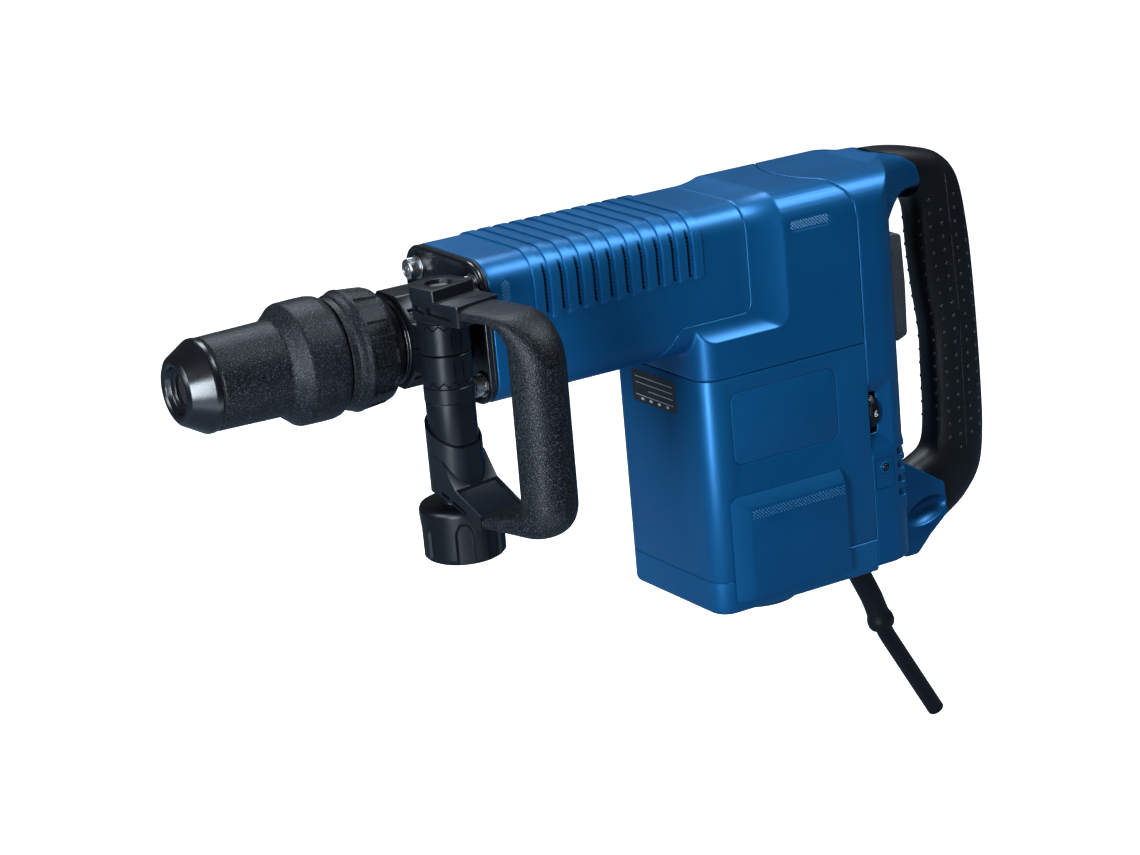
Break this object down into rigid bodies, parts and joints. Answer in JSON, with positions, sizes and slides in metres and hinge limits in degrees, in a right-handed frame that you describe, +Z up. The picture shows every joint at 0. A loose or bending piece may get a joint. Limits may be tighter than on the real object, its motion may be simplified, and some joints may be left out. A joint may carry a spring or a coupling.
{
  "type": "electric demolition hammer",
  "caption": "Corded electric demolition hammer: slotted-shank tool holder, turning side handle, crank-driven air hammer in blue casings, rear D-grip with paddle switch.",
  "frame": {"origin": "middle of the flat round boss under the motor, on the motor's axis", "axes": "+X along the hammer axis from the tool holder to the rear grip, +Z up along the motor axis, -Y the side of the side handle"},
  "size_m": [0.5902, 0.2064, 0.416],
  "materials": {
    "blue_casing": "fine grained moulded blue plastic, satin",
    "black_plastic": "grained black glass-filled plastic",
    "black_rubber": "soft-grip rubber with raised dots",
    "grey_plastic": "dark grey moulded plastic",
    "steel": "ground steel",
    "dark_steel": "hardened dark steel",
    "cast_aluminium": "die-cast aluminium",
    "copper": "enamelled copper windings and copper segments",
    "bronze": "sintered bronze",
    "carbon": "pressed carbon",
    "lens": "clear red lens"
  },
  "bodies": {
    "casing": {"front_flange": "black_plastic", "flange_gasket": "black_rubber", "flange_screw_bottom_left": "steel", "flange_screw_bottom_right": "steel", "flange_screw_top_left": "steel", "flange_screw_top_right": "steel", "neck_bellows": "black_rubber", "spindle_bush": "bronze", "cylinder_housing": "cast_aluminium", "hammer_cylinder": "steel", "crank_bearing": "steel", "upper_bearing": "steel", "lower_bearing": "steel", "stator": "dark_steel", "brush_holder_left": "bronze", "brush_holder_right": "bronze", "brush_left": "carbon", "brush_right": "carbon", "air_guide": "grey_plastic", "hammer_tube_cover": "blue_casing", "gear_housing": "blue_casing", "motor_housing": "blue_casing", "motor_end_cap": "blue_casing", "side_pad_left": "blue_casing", "side_pad_right": "blue_casing", "rear_shell": "blue_casing", "rear_grip": "black_rubber", "service_lens": "lens", "switch_module": "black_plastic", "speed_module": "black_plastic", "power_cable": "black_rubber", "cable_sleeve": "black_rubber", "cable_clamp": "black_plastic"},
    "spindle": {"tool_spindle": "steel", "dust_cap": "black_rubber", "locking_roller_left": "steel", "locking_roller_right": "steel", "sleeve_spring": "steel"},
    "sleeve": {"locking_sleeve": "black_plastic"},
    "ring": {"setting_ring": "black_plastic"},
    "handle_clamp": {"clamp_half_upper": "black_plastic", "clamp_half_lower": "black_plastic"},
    "handle": {"side_handle": "black_plastic", "side_grip": "black_rubber", "spacer_sleeve": "black_plastic", "clamp_bolt": "steel"},
    "knob": {"clamp_knob": "black_plastic"},
    "paddle": {"paddle_switch": "grey_plastic"},
    "dial": {"speed_wheel": "black_plastic"},
    "armature": {"armature_shaft": "steel", "armature_core": "copper", "commutator": "copper", "cooling_fan": "grey_plastic"},
    "crank": {"crank_gear": "dark_steel"},
    "piston": {"piston": "cast_aluminium", "piston_pin": "steel"},
    "rod": {"connecting_rod": "steel", "crank_pin": "steel"},
    "striker": {"striker": "steel"},
    "impact_pin": {"beat_piece": "steel"}
  },
  "joints": [
    {"name": "tool_turn", "type": "hinge", "parent": "casing", "child": "spindle", "pos_m": [-0.307, 0, 0.233], "axis": [1, 0, 0], "continuous": true},
    {"name": "sleeve_pull", "type": "slide", "parent": "spindle", "child": "sleeve", "axis": [1, 0, 0], "range_m": [0, 0.0045], "deforming": ["sleeve_spring"]},
    {"name": "ring_pull", "type": "slide", "parent": "spindle", "child": "ring", "axis": [-1, 0, 0], "range_m": [0, 0.0025]},
    {"name": "collar_turn", "type": "hinge", "parent": "casing", "child": "handle_clamp", "pos_m": [-0.241, 0, 0.233], "axis": [1, 0, 0], "continuous": true},
    {"name": "handle_swing", "type": "hinge", "parent": "handle_clamp", "child": "handle", "pos_m": [-0.2413, -0.0474, 0.233], "axis": [0, 0, 1], "range_deg": [-45, 30]},
    {"name": "knob_turn", "type": "hinge", "parent": "handle", "child": "knob", "pos_m": [-0.2413, -0.0474, 0.123], "axis": [0, 0, 1], "range_deg": [0, 540]},
    {"name": "paddle_press", "type": "hinge", "parent": "casing", "child": "paddle", "pos_m": [0.119, 0, 0.224], "axis": [0, 1, 0], "range_deg": [0, 4]},
    {"name": "speed_dial", "type": "hinge", "parent": "casing", "child": "dial", "pos_m": [0.07, -0.0435, 0.1225], "axis": [1, 0, 0], "range_deg": [-250, 0]},
    {"name": "armature_spin", "type": "hinge", "parent": "casing", "child": "armature", "pos_m": [0, 0, 0.113], "axis": [0, 0, 1], "continuous": true},
    {"name": "crank_spin", "type": "hinge", "parent": "casing", "child": "crank", "pos_m": [-0.031, 0, 0.193], "axis": [0, 0, 1], "continuous": true},
    {"name": "piston_stroke", "type": "slide", "parent": "casing", "child": "piston", "axis": [1, 0, 0], "range_m": [0, 0.028]},
    {"name": "rod_swing", "type": "hinge", "parent": "piston", "child": "rod", "pos_m": [-0.103, 0, 0.233], "axis": [0, 0, 1], "range_deg": [-13.5, 13.5]},
    {"name": "striker_stroke", "type": "slide", "parent": "casing", "child": "striker", "axis": [1, 0, 0], "range_m": [0, 0.028]},
    {"name": "beat_travel", "type": "slide", "parent": "casing", "child": "impact_pin", "axis": [1, 0, 0], "range_m": [0, 0.006]}
  ],
  "couplings": [
    {"joint": "crank_spin", "follows": "armature_spin", "ratio": -0.24},
    {"joint": "striker_stroke", "follows": "piston_stroke", "ratio": 1}
  ]
}
